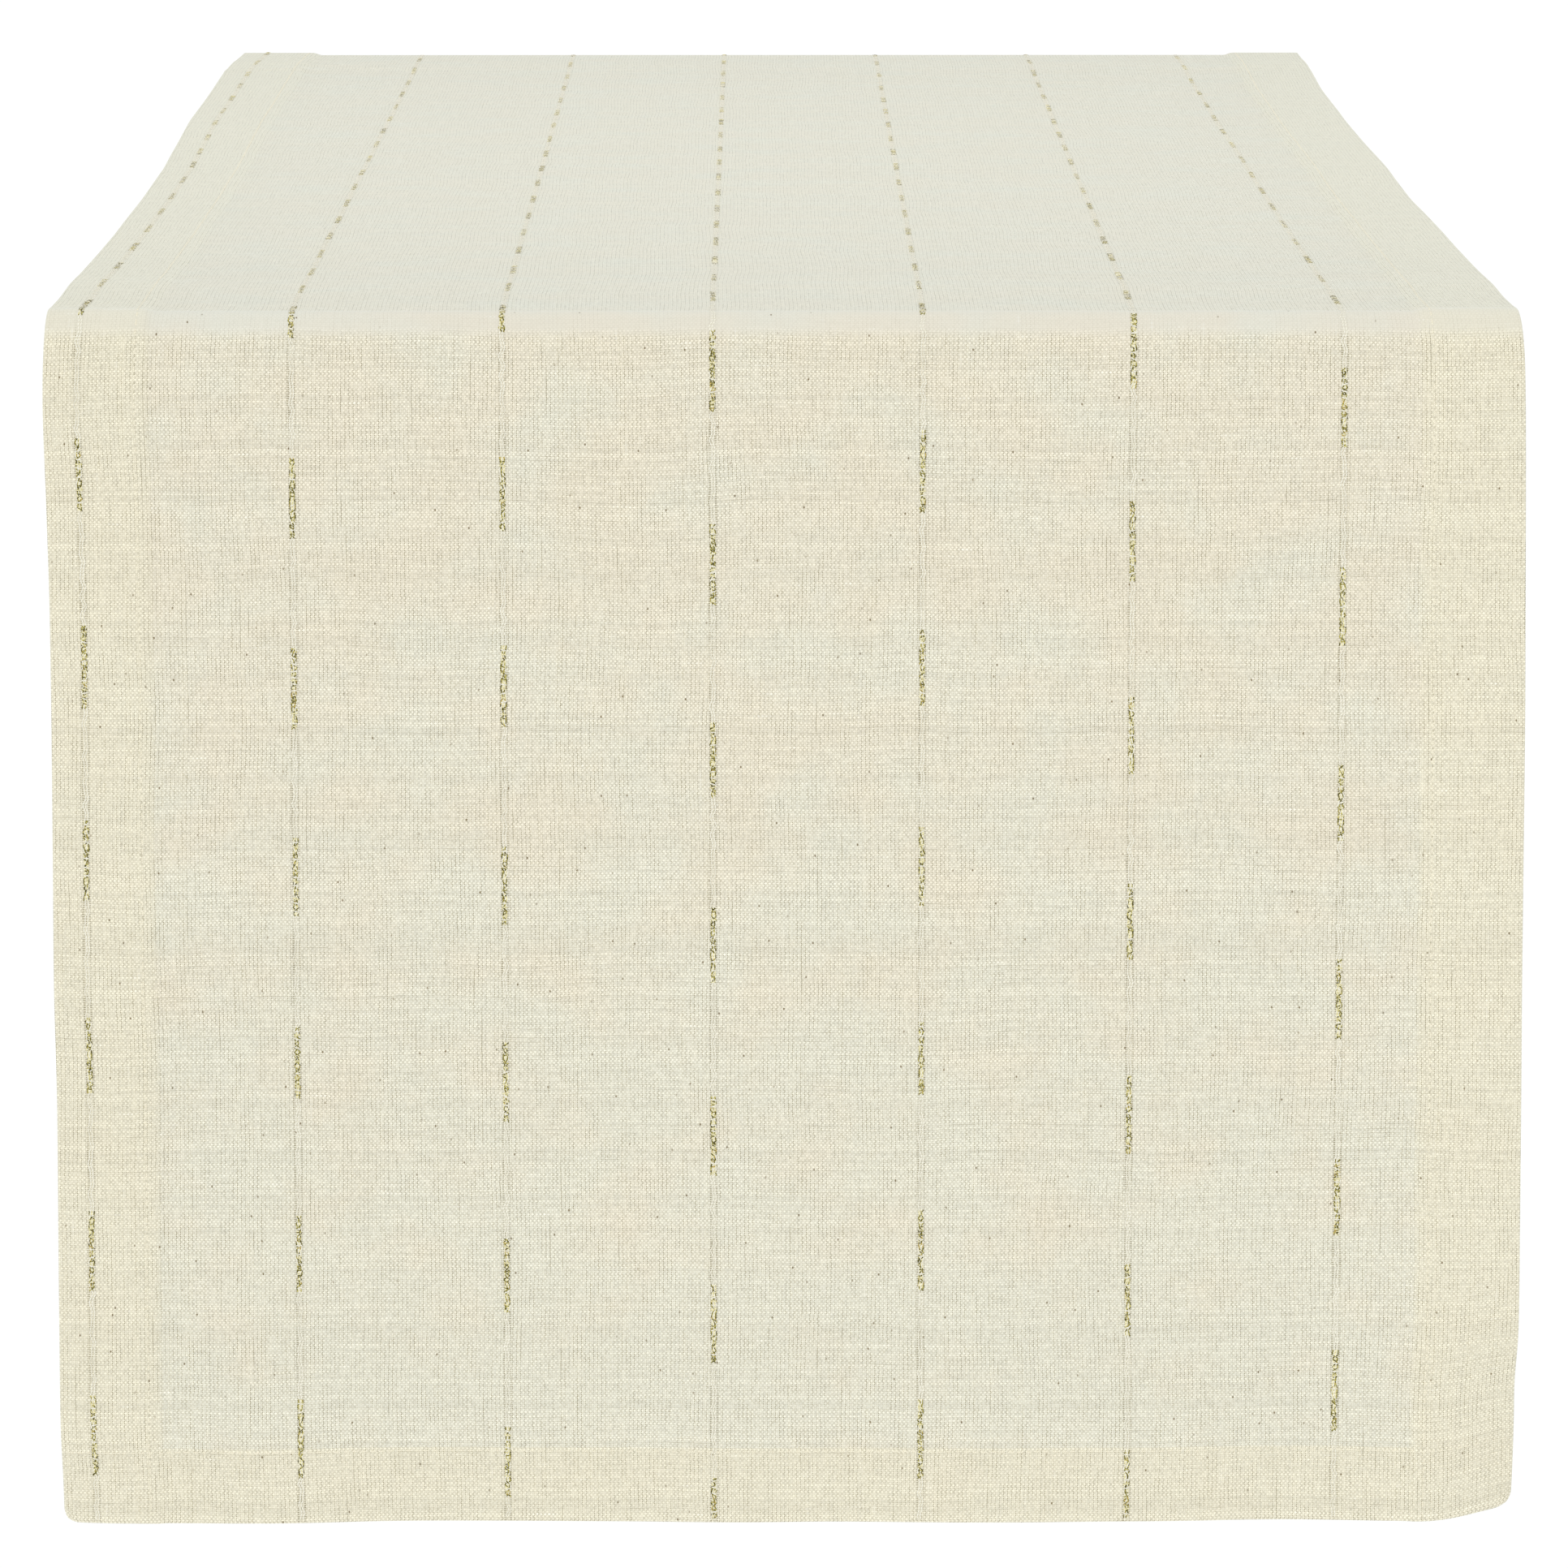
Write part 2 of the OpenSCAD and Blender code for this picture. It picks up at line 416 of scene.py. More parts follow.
class Recipe:
    """A material's node tree, built up so that a finish reads as arithmetic."""

    def __init__(self, name: str) -> None:
        """Starts an empty material.

        Args:
            name: The material's name.
        """
        self.material = bpy.data.materials.new(name)
        self.material.use_nodes = True
        self.tree = self.material.node_tree
        self.tree.nodes.clear()

    def node(self, kind: str, **settings: object) -> bpy.types.Node:
        """Adds a node with its settings."""
        made = self.tree.nodes.new(kind)
        for key, value in settings.items():
            setattr(made, key, value)
        return made

    def feed(self, socket: bpy.types.NodeSocket, value: object) -> None:
        """Links a socket into another, or sets a plain value on it."""
        if isinstance(value, bpy.types.NodeSocket):
            self.tree.links.new(value, socket)
        else:
            socket.default_value = value

    def math(self, operation: str, *inputs: object) -> bpy.types.NodeSocket:
        """Adds a math node and returns its result."""
        made = self.node("ShaderNodeMath", operation=operation)
        for socket, value in zip(made.inputs, inputs):
            self.feed(socket, value)
        return made.outputs[0]

    def times(self, first: object, second: object) -> bpy.types.NodeSocket:
        """Multiplies two values."""
        return self.math("MULTIPLY", first, second)

    def plus(self, first: object, second: object) -> bpy.types.NodeSocket:
        """Adds two values."""
        return self.math("ADD", first, second)

    def minus(self, first: object, second: object) -> bpy.types.NodeSocket:
        """Takes the second value from the first."""
        return self.math("SUBTRACT", first, second)

    def rest(self, value: object) -> bpy.types.NodeSocket:
        """What a value leaves of one."""
        return self.minus(1.0, value)

    def size(self, value: object) -> bpy.types.NodeSocket:
        """A value without its sign."""
        return self.math("ABSOLUTE", value)

    def larger(self, first: object, second: object) -> bpy.types.NodeSocket:
        """The larger of two values."""
        return self.math("MAXIMUM", first, second)

    def scale(self, value: object, base: float, swing: float) -> bpy.types.NodeSocket:
        """Turns 0 to 1 into base to base plus swing."""
        return self.plus(base, self.times(value, swing))

    def stray(self, value: object, swing: float) -> bpy.types.NodeSocket:
        """Centres soft noise on zero and scales it."""
        return self.times(self.minus(value, 0.5), swing)

    def wave(self, value: object, kind: str = "COSINE") -> bpy.types.NodeSocket:
        """The cosine or sine of a value in half turns."""
        return self.math(kind, self.times(value, math.pi))

    def fall(self, value: object, low: float, high: float) -> bpy.types.NodeSocket:
        """Eases a value from 1 at low to 0 at high."""
        return self.rest(self.step(value, low, high))

    def step(self, value: object, low: float, high: float) -> bpy.types.NodeSocket:
        """Eases a value from 0 at low to 1 at high."""
        made = self.node("ShaderNodeMapRange", interpolation_type="SMOOTHSTEP")
        self.feed(made.inputs["Value"], value)
        made.inputs["From Min"].default_value = low
        made.inputs["From Max"].default_value = high
        return made.outputs["Result"]

    def vector(self, x: object, y: object, z: object = 0.0) -> bpy.types.NodeSocket:
        """Joins three values into a vector."""
        made = self.node("ShaderNodeCombineXYZ")
        for socket, value in zip(made.inputs, (x, y, z)):
            self.feed(socket, value)
        return made.outputs[0]

    def noise(self, vector: object, scale: float = 1.0, detail: float = 2.0) -> bpy.types.NodeSocket:
        """Adds soft noise of about 0 to 1."""
        made = self.node("ShaderNodeTexNoise", noise_dimensions="3D")
        self.feed(made.inputs["Vector"], vector)
        made.inputs["Scale"].default_value = scale
        made.inputs["Detail"].default_value = detail
        return made.outputs["Fac"]

    def cloud(self, x: object, y: object, x_scale: float, y_scale: float, seed: float = 0.0,
              detail: float = 2.0) -> bpy.types.NodeSocket:
        """Adds soft noise on two values that each have their own scale."""
        place = self.vector(self.times(x, x_scale), self.times(y, y_scale), seed)
        return self.noise(place, 1.0, detail)

    def dice(self, x: object, y: object = 0.0, z: object = 0.0) -> bpy.types.NodeSocket:
        """Adds a random value for each whole number or set of them."""
        made = self.node("ShaderNodeTexWhiteNoise", noise_dimensions="3D")
        self.feed(made.inputs["Vector"], self.vector(x, y, z))
        return made.outputs["Value"]

    def mix(self, share: object, first: object, second: object,
            blend: str = "MIX") -> bpy.types.NodeSocket:
        """Mixes two colours."""
        made = self.node("ShaderNodeMix", data_type="RGBA", blend_type=blend)
        self.feed(made.inputs[0], share)
        self.feed(made.inputs[6], first)
        self.feed(made.inputs[7], second)
        return made.outputs[2]

    def lay(self) -> tuple[bpy.types.NodeSocket, bpy.types.NodeSocket]:
        """Reads the piece's own lay coordinates, across and along, in metres."""
        source = self.node("ShaderNodeUVMap", uv_map=LAY)
        parts = self.node("ShaderNodeSeparateXYZ")
        self.tree.links.new(source.outputs[0], parts.inputs[0])
        return parts.outputs[0], parts.outputs[1]

    def finish(self, colour: object, height: object, depth: float, strength: float,
               **fixed: object) -> bpy.types.Material:
        """Closes the material with its shader.

        Args:
            colour: The base colour.
            height: The relief from 0 to 1.
            depth: What a relief of one stands for in metres.
            strength: The strength of the relief.
            fixed: Values set directly on the shader's own sockets, by name with underscores.

        Returns:
            The finished material.
        """
        shader = self.node("ShaderNodeBsdfPrincipled")
        self.feed(shader.inputs["Base Color"], colour)
        for key, value in fixed.items():
            self.feed(shader.inputs[key.replace("_", " ")], value)
        relief = self.node("ShaderNodeBump")
        relief.inputs["Distance"].default_value = depth
        relief.inputs["Strength"].default_value = strength
        self.feed(relief.inputs["Height"], height)
        self.tree.links.new(relief.outputs["Normal"], shader.inputs["Normal"])
        output = self.node("ShaderNodeOutputMaterial")
        self.tree.links.new(shader.outputs[0], output.inputs[0])
        return self.material


@dataclass(frozen=True)
class PlainWeave:
    """Natural cotton in a plain weave, with slubs, reed marks and the odd dark fleck."""

    name: str
    stripes: bool
    warm: tuple = srgb(240, 233, 213)
    cool: tuple = srgb(237, 235, 218)
    hemmed: tuple = srgb(241, 235, 212)
    # Painted shade: the colour that the weave's hollows, gaps and holes darken towards.
    gap_shade: tuple = srgb(142, 133, 104)
    slub: tuple = srgb(250, 247, 233)
    fleck: tuple = srgb(116, 98, 66)
    # Painted shade: the darker, cooler tint over the fold at the table's edge.
    fold_shade_tint: tuple = (0.855, 0.865, 0.895)
    warp: float = 0.642 * MM
    weft: float = 0.711 * MM
    last_stripe_end: float = 0.19
    slow_drift: float = 5.0
    quick_drift: float = 0.55
    gap_sharpness: float = 10.0
    fleck_scale: float = 120.0
    relief_depth: float = 0.16 * MM

    def dress(self, plan: ClothPlan) -> bpy.types.Material:
        """Builds the finish.

        Args:
            plan: The cloth's sizes, for where its hems and seams are.

        Returns:
            The material.
        """
        r = Recipe(self.name)
        u, v = r.lay()
        drift, waver = r.cloud(u, v, 9.0, 14.0, 0.0, 1.0), r.cloud(u, v, 16.0, 8.0, 5.0, 1.0)
        a = r.plus(r.math("DIVIDE", u, self.warp), r.stray(drift, self.slow_drift))
        b = r.plus(r.math("DIVIDE", v, self.weft), r.stray(waver, self.slow_drift))
        a = r.plus(a, r.stray(r.cloud(u, v, 150.0, 430.0, 21.0, 1.0), self.quick_drift))
        b = r.plus(b, r.stray(r.cloud(u, v, 430.0, 150.0, 27.0, 1.0), self.quick_drift))
        end_no, pick_no = r.math("FLOOR", a), r.math("FLOOR", b)
        end_crown = r.wave(r.math("FRACT", a), "SINE")
        pick_crown = r.wave(r.math("FRACT", b), "SINE")
        end_wave = r.wave(r.plus(r.minus(b, 0.5), end_no))
        pick_wave = r.wave(r.plus(r.minus(a, 0.5), pick_no))
        end_tone, pick_tone = r.dice(end_no, 3.0), r.dice(pick_no, 11.0, 4.0)
        end_swell = r.cloud(end_no, v, 1.7, 85.0)
        pick_swell = r.cloud(u, pick_no, 85.0, 1.7, 9.0)
        end_top = r.plus(r.plus(r.times(end_wave, 0.40), r.times(end_crown, 0.62)), r.times(end_swell, 0.5))
        pick_top = r.plus(r.times(pick_wave, -0.40), r.times(pick_crown, 0.66))
        pick_top = r.plus(pick_top, r.times(pick_swell, 0.5))
        height = r.larger(end_top, pick_top)
        on_end = r.step(r.minus(end_top, pick_top), -0.12, 0.12)
        # Colour: broad clouds, cooler downwards, yellower over the hems, with pale slubs.
        cloud = r.noise(r.vector(u, r.times(v, 1.2), 2.0), 32.0, 3.0)
        lower = r.step(v, plan.hang_start, plan.half_length)
        cloud = r.plus(cloud, r.times(r.minus(lower, 0.35), 0.22))
        colour = r.mix(r.step(cloud, 0.30, 0.70), self.warm, self.cool)
        side = r.size(u)
        hem_top = plan.half_length - plan.end_hem
        in_hem = r.larger(r.step(side, plan.step_start, plan.hem_start),
                          r.step(v, hem_top, hem_top + 0.6 * MM))
        colour = r.mix(r.times(in_hem, 0.75), colour, self.hemmed)
        parts = r.node("ShaderNodeSeparateXYZ")
        r.feed(parts.inputs[0],
               r.mix(on_end, r.vector(pick_tone, pick_swell), r.vector(end_tone, end_swell)))
        tone, swell = parts.outputs[0], parts.outputs[1]
        colour = r.mix(r.times(r.step(swell, 0.64, 0.78), 0.60), colour, self.slub)
        # Painted shade: the colour darkens in the hollows between threads and in the wider gaps after every
        # second thread.
        cell = r.dice(end_no, pick_no, 5.0)
        low = r.fall(height, 0.50, 1.02)
        end_pair, pick_pair = r.times(a, 0.5), r.times(b, 0.5)
        end_gap = r.math("POWER", r.size(r.wave(end_pair)), self.gap_sharpness)
        pick_gap = r.math("POWER", r.size(r.wave(pick_pair)), self.gap_sharpness)
        loose = r.scale(r.step(r.cloud(u, v, 300.0, 110.0, 12.0), 0.34, 0.66), 0.15, 0.85)
        shade = r.times(low, r.plus(r.scale(cell, 0.04, 0.34), r.times(r.times(end_gap, loose), 0.76)))
        # Painted shade where the weft dips under the warp.
        under = r.scale(r.times(pick_wave, r.scale(pick_crown, 0.40, 0.60)), 0.5, 0.5)
        uneven = r.step(r.noise(r.vector(u, v, 31.0), 620.0, 2.0), 0.36, 0.64)
        grain = r.plus(r.scale(uneven, 0.16, 0.22), r.times(end_tone, 0.18))
        shade = r.plus(shade, r.times(under, grain))
        # Painted shade along random reed marks, in the gaps between pairs of threads.
        end_gap_no, pick_gap_no = r.math("ROUND", end_pair), r.math("ROUND", pick_pair)
        end_mark = r.times(r.step(r.dice(end_gap_no, 7.0), 0.72, 0.96),
                           r.step(r.cloud(end_gap_no, v, 3.1, 60.0, 6.0, 3.0), 0.50, 0.66))
        pick_mark = r.times(r.step(r.dice(pick_gap_no, 17.0), 0.40, 0.90),
                            r.step(r.cloud(u, pick_gap_no, 120.0, 3.1, 16.0, 3.0), 0.48, 0.66))
        end_mark = r.times(end_mark, r.rest(r.times(pick_crown, 0.62)))
        pick_mark = r.times(pick_mark, r.rest(r.times(end_crown, 0.55)))
        lines = r.larger(r.times(end_gap, r.scale(end_mark, 0.12, 1.2)),
                         r.times(pick_gap, r.scale(pick_mark, 0.30, 0.42)))
        hanging = r.step(v, plan.flat_half - 6.0 * MM, plan.flat_half)
        lines = r.times(lines, r.scale(hanging, 0.40, 0.60))
        shade = r.times(r.larger(shade, lines), r.rest(r.times(in_hem, 0.04)))
        holes = self._holes(r, plan, u, v, b, side)
        # Over the fold at the table's edge the colour is tinted darker and cooler: painted shade over the
        # bend's bright band. The weave's painted shade, its tone and its relief are evened out there too.
        fold_shade_band = r.times(r.step(v, plan.flat_half - 2.0 * MM, plan.flat_half + 1.0 * MM),
                          r.fall(v, plan.hang_start - 3.5 * MM, plan.hang_start + 1.0 * MM))
        shade = r.math("MINIMUM", r.larger(shade, holes), 1.0)
        colour = r.mix(r.times(shade, r.rest(r.times(fold_shade_band, 0.72))), colour, self.gap_shade)
        colour = r.mix(fold_shade_band, colour, r.vector(*self.fold_shade_tint), "MULTIPLY")
        spot = r.node("ShaderNodeTexVoronoi", feature="F1", voronoi_dimensions="2D")
        spot.inputs["Scale"].default_value = self.fleck_scale
        r.feed(spot.inputs["Vector"], r.vector(u, r.times(v, 0.7)))
        rare = r.step(r.dice(r.math("FLOOR", r.times(spot.outputs["Color"], 997.0))), 0.52, 1.00)
        near = r.fall(spot.outputs["Distance"], 0.022, 0.042)
        colour = r.mix(r.times(r.times(rare, near), 0.9), colour, self.fleck)
        light = r.plus(r.scale(tone, 0.835, 0.160), r.times(cell, 0.150))
        light = r.plus(light, r.times(swell, 0.100))
        # Over the fold the tone is evened out, part of the painted shade band there.
        light = r.plus(light, r.times(fold_shade_band, r.times(r.minus(1.03, light), 0.8)))
        colour = r.mix(1.0, colour, r.vector(light, light, light), "MULTIPLY")
        fuzz = r.noise(r.vector(u, v), 5200.0, 2.0)
        relief = r.plus(r.times(height, 0.72), r.times(fuzz, 0.12))
        relief = r.minus(relief, r.times(holes, 0.5))
        relief = r.times(relief, r.rest(r.times(fold_shade_band, 0.8)))
        return r.finish(colour, relief, self.relief_depth, 0.55, Roughness=0.88, Sheen_Weight=0.75,
                        Sheen_Tint=(0.88, 0.94, 0.90, 1.0), Sheen_Roughness=0.5, Specular_IOR_Level=0.18)

    def _holes(self, r: Recipe, plan: ClothPlan, u: object, v: object, b: object,
               side: object) -> bpy.types.NodeSocket:
        """The rows of pin holes beside each stripe and along each seam, drawn as painted shade in the colour
        and a dip in the relief.

        Args:
            r: The material in the making.
            plan: The cloth's sizes.
            u: The way across.
            v: The way along.
            b: The way along in threads.
            side: The way out from the middle line.

        Returns:
            A value from 0 to 1, which is 1 in a hole.
        """
        dots = r.scale(r.step(r.size(r.wave(b)), 0.45, 0.92), 0.22, 0.75)
        stitch = r.math("FRACT", r.math("DIVIDE", v, plan.stitch_pitch))
        prick = r.step(r.size(r.minus(stitch, 0.5)), 0.30, 0.44)
        row = r.fall(r.size(r.minus(side, plan.seam_u)), 0.2 * MM, 0.5 * MM)
        holes = r.times(r.times(prick, row), 0.42)
        if not self.stripes:
            return holes
        share = r.math("DIVIDE", r.minus(u, FIRST_STRIPE - STRIPE_SETT / 2), STRIPE_SETT)
        number = r.math("FLOOR", share)
        off = r.stray(r.math("FRACT", share), STRIPE_SETT)
        off = r.plus(off, r.stray(r.cloud(number, v, 5.0, 150.0), 0.8 * MM))
        left = r.fall(r.size(r.plus(off, 0.95 * MM)), 0.14 * MM, 0.42 * MM)
        right = r.fall(r.size(r.minus(off, 1.00 * MM)), 0.12 * MM, 0.40 * MM)
        middle = r.fall(r.size(off), 0.10 * MM, 0.34 * MM)
        rows = r.larger(r.times(left, 0.95), r.larger(r.times(right, 0.85), r.times(middle, 0.70)))
        rows = r.times(r.times(rows, dots), r.math("LESS_THAN", u, self.last_stripe_end))
        fade = r.cloud(number, v, 3.0, 62.0, 4.0)
        rows = r.times(rows, r.scale(r.step(fade, 0.38, 0.58), 0.60, 0.40))
        hanging = r.step(v, plan.flat_half - 4.0 * MM, plan.flat_half)
        return r.larger(holes, r.times(rows, r.scale(hanging, 0.42, 0.58)))


@dataclass(frozen=True)
class SpunYarn:
    """Two-ply cotton yarn, paler and smoother than the cloth."""

    name: str
    light: tuple
    dark: tuple
    twist: float = 1.1 * MM

    def dress(self) -> bpy.types.Material:
        """Builds the finish, whose plies wind round the strand."""
        r = Recipe(self.name)
        around, along = r.lay()
        ply = r.size(r.wave(r.plus(r.math("DIVIDE", along, self.twist), around), "SINE"))
        fibre = r.cloud(around, along, 6.0, 2600.0, 0.0, 3.0)
        shade = r.plus(r.times(ply, 0.55), r.times(fibre, 0.45))
        colour = r.mix(r.step(shade, 0.15, 0.75), self.dark, self.light)
        height = r.plus(ply, r.times(fibre, 0.25))
        return r.finish(colour, height, 0.10 * MM, 0.6, Roughness=0.72, Sheen_Weight=0.30,
                        Sheen_Roughness=0.4, Specular_IOR_Level=0.25)


@dataclass(frozen=True)
class MetallicYarn:
    """Flat gold film wound on a thread, its colour blotched between a painted highlight and an olive painted
    dark reflection.
    """

    name: str
    gold_highlight: tuple = srgb(206, 196, 110)
    gold_dark_reflection: tuple = srgb(72, 66, 18)
    ember: tuple = srgb(210, 178, 96)
    wrap: float = 0.55 * MM

    def dress(self) -> bpy.types.Material:
        """Builds the finish."""
        r = Recipe(self.name)
        around, along = r.lay()
        # Painted highlight and painted dark reflection: the film's colour swings between the two in blotches
        # along the strand.
        film = r.cloud(around, along, 3.0, 1500.0)
        colour = r.mix(r.step(film, 0.45, 0.64), self.gold_dark_reflection, self.gold_highlight)
        spark = r.cloud(around, along, 2.0, 900.0, 8.0, 0.0)
        colour = r.mix(r.times(r.step(spark, 0.66, 0.74), 0.7), colour, self.ember)
        wrap = r.size(r.wave(r.plus(r.math("DIVIDE", along, self.wrap), around), "SINE"))
        return r.finish(colour, r.plus(r.times(wrap, 0.6), r.times(film, 0.8)), 0.12 * MM, 0.7,
                        Metallic=0.75, Roughness=0.32)


@dataclass
class Cloth:
    """The woven cloth and its hems, in two halves that meet flat at the runner's middle."""

    plan: ClothPlan
    drape: Drape
    weave: bpy.types.Material
    hem_weave: bpy.types.Material
    cell: float = 4.0 * MM
    nose_cut: float = 0.75 * MM
    hem_ply: float = 0.92

    def walk_along(self, stop: float) -> np.ndarray:
        """The rows of points along a half, closer together over the table's edge.

        Args:
            stop: How far the rows reach.

        Returns:
            The way along of each row.
        """
        plan = self.plan
        return steps((0.0, 1.0), (plan.flat_half - 6 * MM, self.cell), (plan.flat_half, 1.5 * MM),
                     (plan.hang_start, 0.55 * MM), (plan.hang_start + 6 * MM, 1.5 * MM),
                     (plan.half_length - 12 * MM, self.cell), (stop, 1.2 * MM))

    def across(self) -> tuple[np.ndarray, np.ndarray, np.ndarray]:
        """The section across the cloth, with each edge turned under round its hem.

        Returns:
            The way across, the height of the cloth's middle, and the developed way across.
        """
        plan = self.plan
        core = plan.half_width - self.nose_cut
        half = steps((0.0, 1.0), (plan.step_start, self.cell), (plan.hem_start, 0.8 * MM),
                     (core - 6 * MM, self.cell), (core, 1.2 * MM))
        lift = self.drape.rise(half) + plan.ply / 2
        angles = np.linspace(0.0, math.pi, 7)[1:]
        nose_u = core + plan.ply * np.sin(angles)
        nose_n = 1.5 * plan.ply + plan.ply * np.cos(angles)
        flat = np.concatenate([half, core + plan.ply * angles])
        way = np.concatenate([half, nose_u])
        lift = np.concatenate([lift, nose_n])
        return (
            np.concatenate([-way[:0:-1], way]),
            np.concatenate([lift[:0:-1], lift]),
            np.concatenate([-flat[:0:-1], flat]),
        )

    def make_half(self, end: End) -> bpy.types.Object:
        """Makes one half of the cloth, with its end turned under round the end hem.

        Args:
            end: The half.

        Returns:
            The cloth, closed and with its thickness.
        """
        plan = self.plan
        u, n, flat = self.across()
        stop = plan.half_length - self.nose_cut
        v = self.walk_along(stop)
        low = -1.5 * plan.ply
        rows_v = [np.full_like(u, way) for way in v]
        rows_n = [n] * len(v)
        rows_flat = [np.full_like(u, way) for way in v]
        for angle in np.linspace(0.0, math.pi, 7)[1:]:
            rows_v.append(np.full_like(u, stop + plan.ply * math.sin(angle)))
            rows_n.append((n + low) / 2 + (n - low) / 2 * math.cos(angle))
            rows_flat.append(np.full_like(u, stop + plan.ply * angle))
        count = len(rows_v)
        where = (np.tile(u, count), np.concatenate(rows_v), np.concatenate(rows_n))
        flat = (np.tile(flat, count), np.concatenate(rows_flat))
        return self._close(f"cloth_{end.value}", self.weave, plan.ply, end, where, flat, count)

    def _close(self, name: str, weave: bpy.types.Material, thickness: float, end: End,
               where: tuple, flat: tuple, rows: int) -> bpy.types.Object:
        """Lays a grid of points on the table and makes a closed sheet of it.

        Args:
            name: The piece's name.
            weave: Its finish.
            thickness: Its thickness.
            end: The half of the runner.
            where: The way across, the way along and the height of each point.
            flat: The developed way across and along of each point.
            rows: How many rows of points there are.

        Returns:
            The sheet.
        """
        shell = Shell()
        columns = len(where[0]) // rows
        shell.add(self.drape.place(end, *where), grid_faces(rows, columns), np.stack(flat, axis=-1))
        piece = shell.build(name, [weave])
        thicken(piece, thickness)
        return piece

    def _turned(self, outer: float, inner: float, last: float, stride: float) -> tuple:
        """The section of a hem's two plies, which turn back at its inner edge.

        Args:
            outer: Where the lower ply starts.
            inner: Where the plies turn back.
            last: Where the upper ply stops.
            stride: The longest stride.

        Returns:
            The way inwards, the height, and the developed length from the start.
        """
        half = self.plan.ply / 2
        angles = np.linspace(-math.pi / 2, math.pi / 2, 5)
        lower = steps((outer, 1.0), (inner, stride))
        upper = steps((inner, 1.0), (last, stride))
        way = np.concatenate([lower[:-1], inner - half * np.cos(angles), upper[1:]])
        height = np.concatenate([np.full(len(lower) - 1, half), 2 * half + half * np.sin(angles),
                                 np.full(len(upper) - 1, 3 * half)])
        gone = np.concatenate([[0.0], np.cumsum(np.hypot(np.diff(way), np.diff(height)))])
        return way, height, gone

    def make_side_hem(self, end: End, edge: Edge) -> bpy.types.Object:
        """Makes one half of a side hem, two plies turned under along the edge.

        Args:
            end: The half of the runner.
            edge: The long edge.

        Returns:
            The hem.
        """
        plan = self.plan
        core = plan.half_width - self.nose_cut
        u, n, gone = self._turned(core - 0.1 * MM, plan.hem_start + 0.5 * MM, core - 1.2 * MM, 5 * MM)
        v = self.walk_along(plan.half_length - 1.6 * MM)
        count = len(v)
        along = np.repeat(v, len(u))
        where = (np.tile(u * edge.sign, count), along, np.tile(n, count))
        flat = (np.tile((plan.half_width + gone) * edge.sign, count), along)
        return self._close(f"hem_{edge.value}_{end.value}", self.hem_weave, self.hem_ply * plan.ply, end,
                           where, flat, count)

    def make_end_hem(self, end: End) -> bpy.types.Object:
        """Makes the hem at one end, two plies turned up behind the hanging cloth.

        Args:
            end: The half of the runner.

        Returns:
            The hem.
        """
        plan = self.plan
        stop = plan.half_length - self.nose_cut
        inner = plan.half_length - plan.end_hem + 0.4 * MM
        v, n, gone = self._turned(stop - 0.1 * MM, inner, stop - 1.2 * MM, 4 * MM)
        rim = plan.half_width - 1.1 * MM
        u = steps((-rim, 1.0), (rim, self.cell))
        count = len(v)
        across = np.tile(u, count)
        where = (across, np.repeat(v, len(u)), np.repeat(n - 2 * plan.ply, len(u)))
        flat = (across, np.repeat(plan.half_length + gone, len(u)))
        return self._close(f"hem_end_{end.value}", self.hem_weave, self.hem_ply * plan.ply, end,
                           where, flat, count)


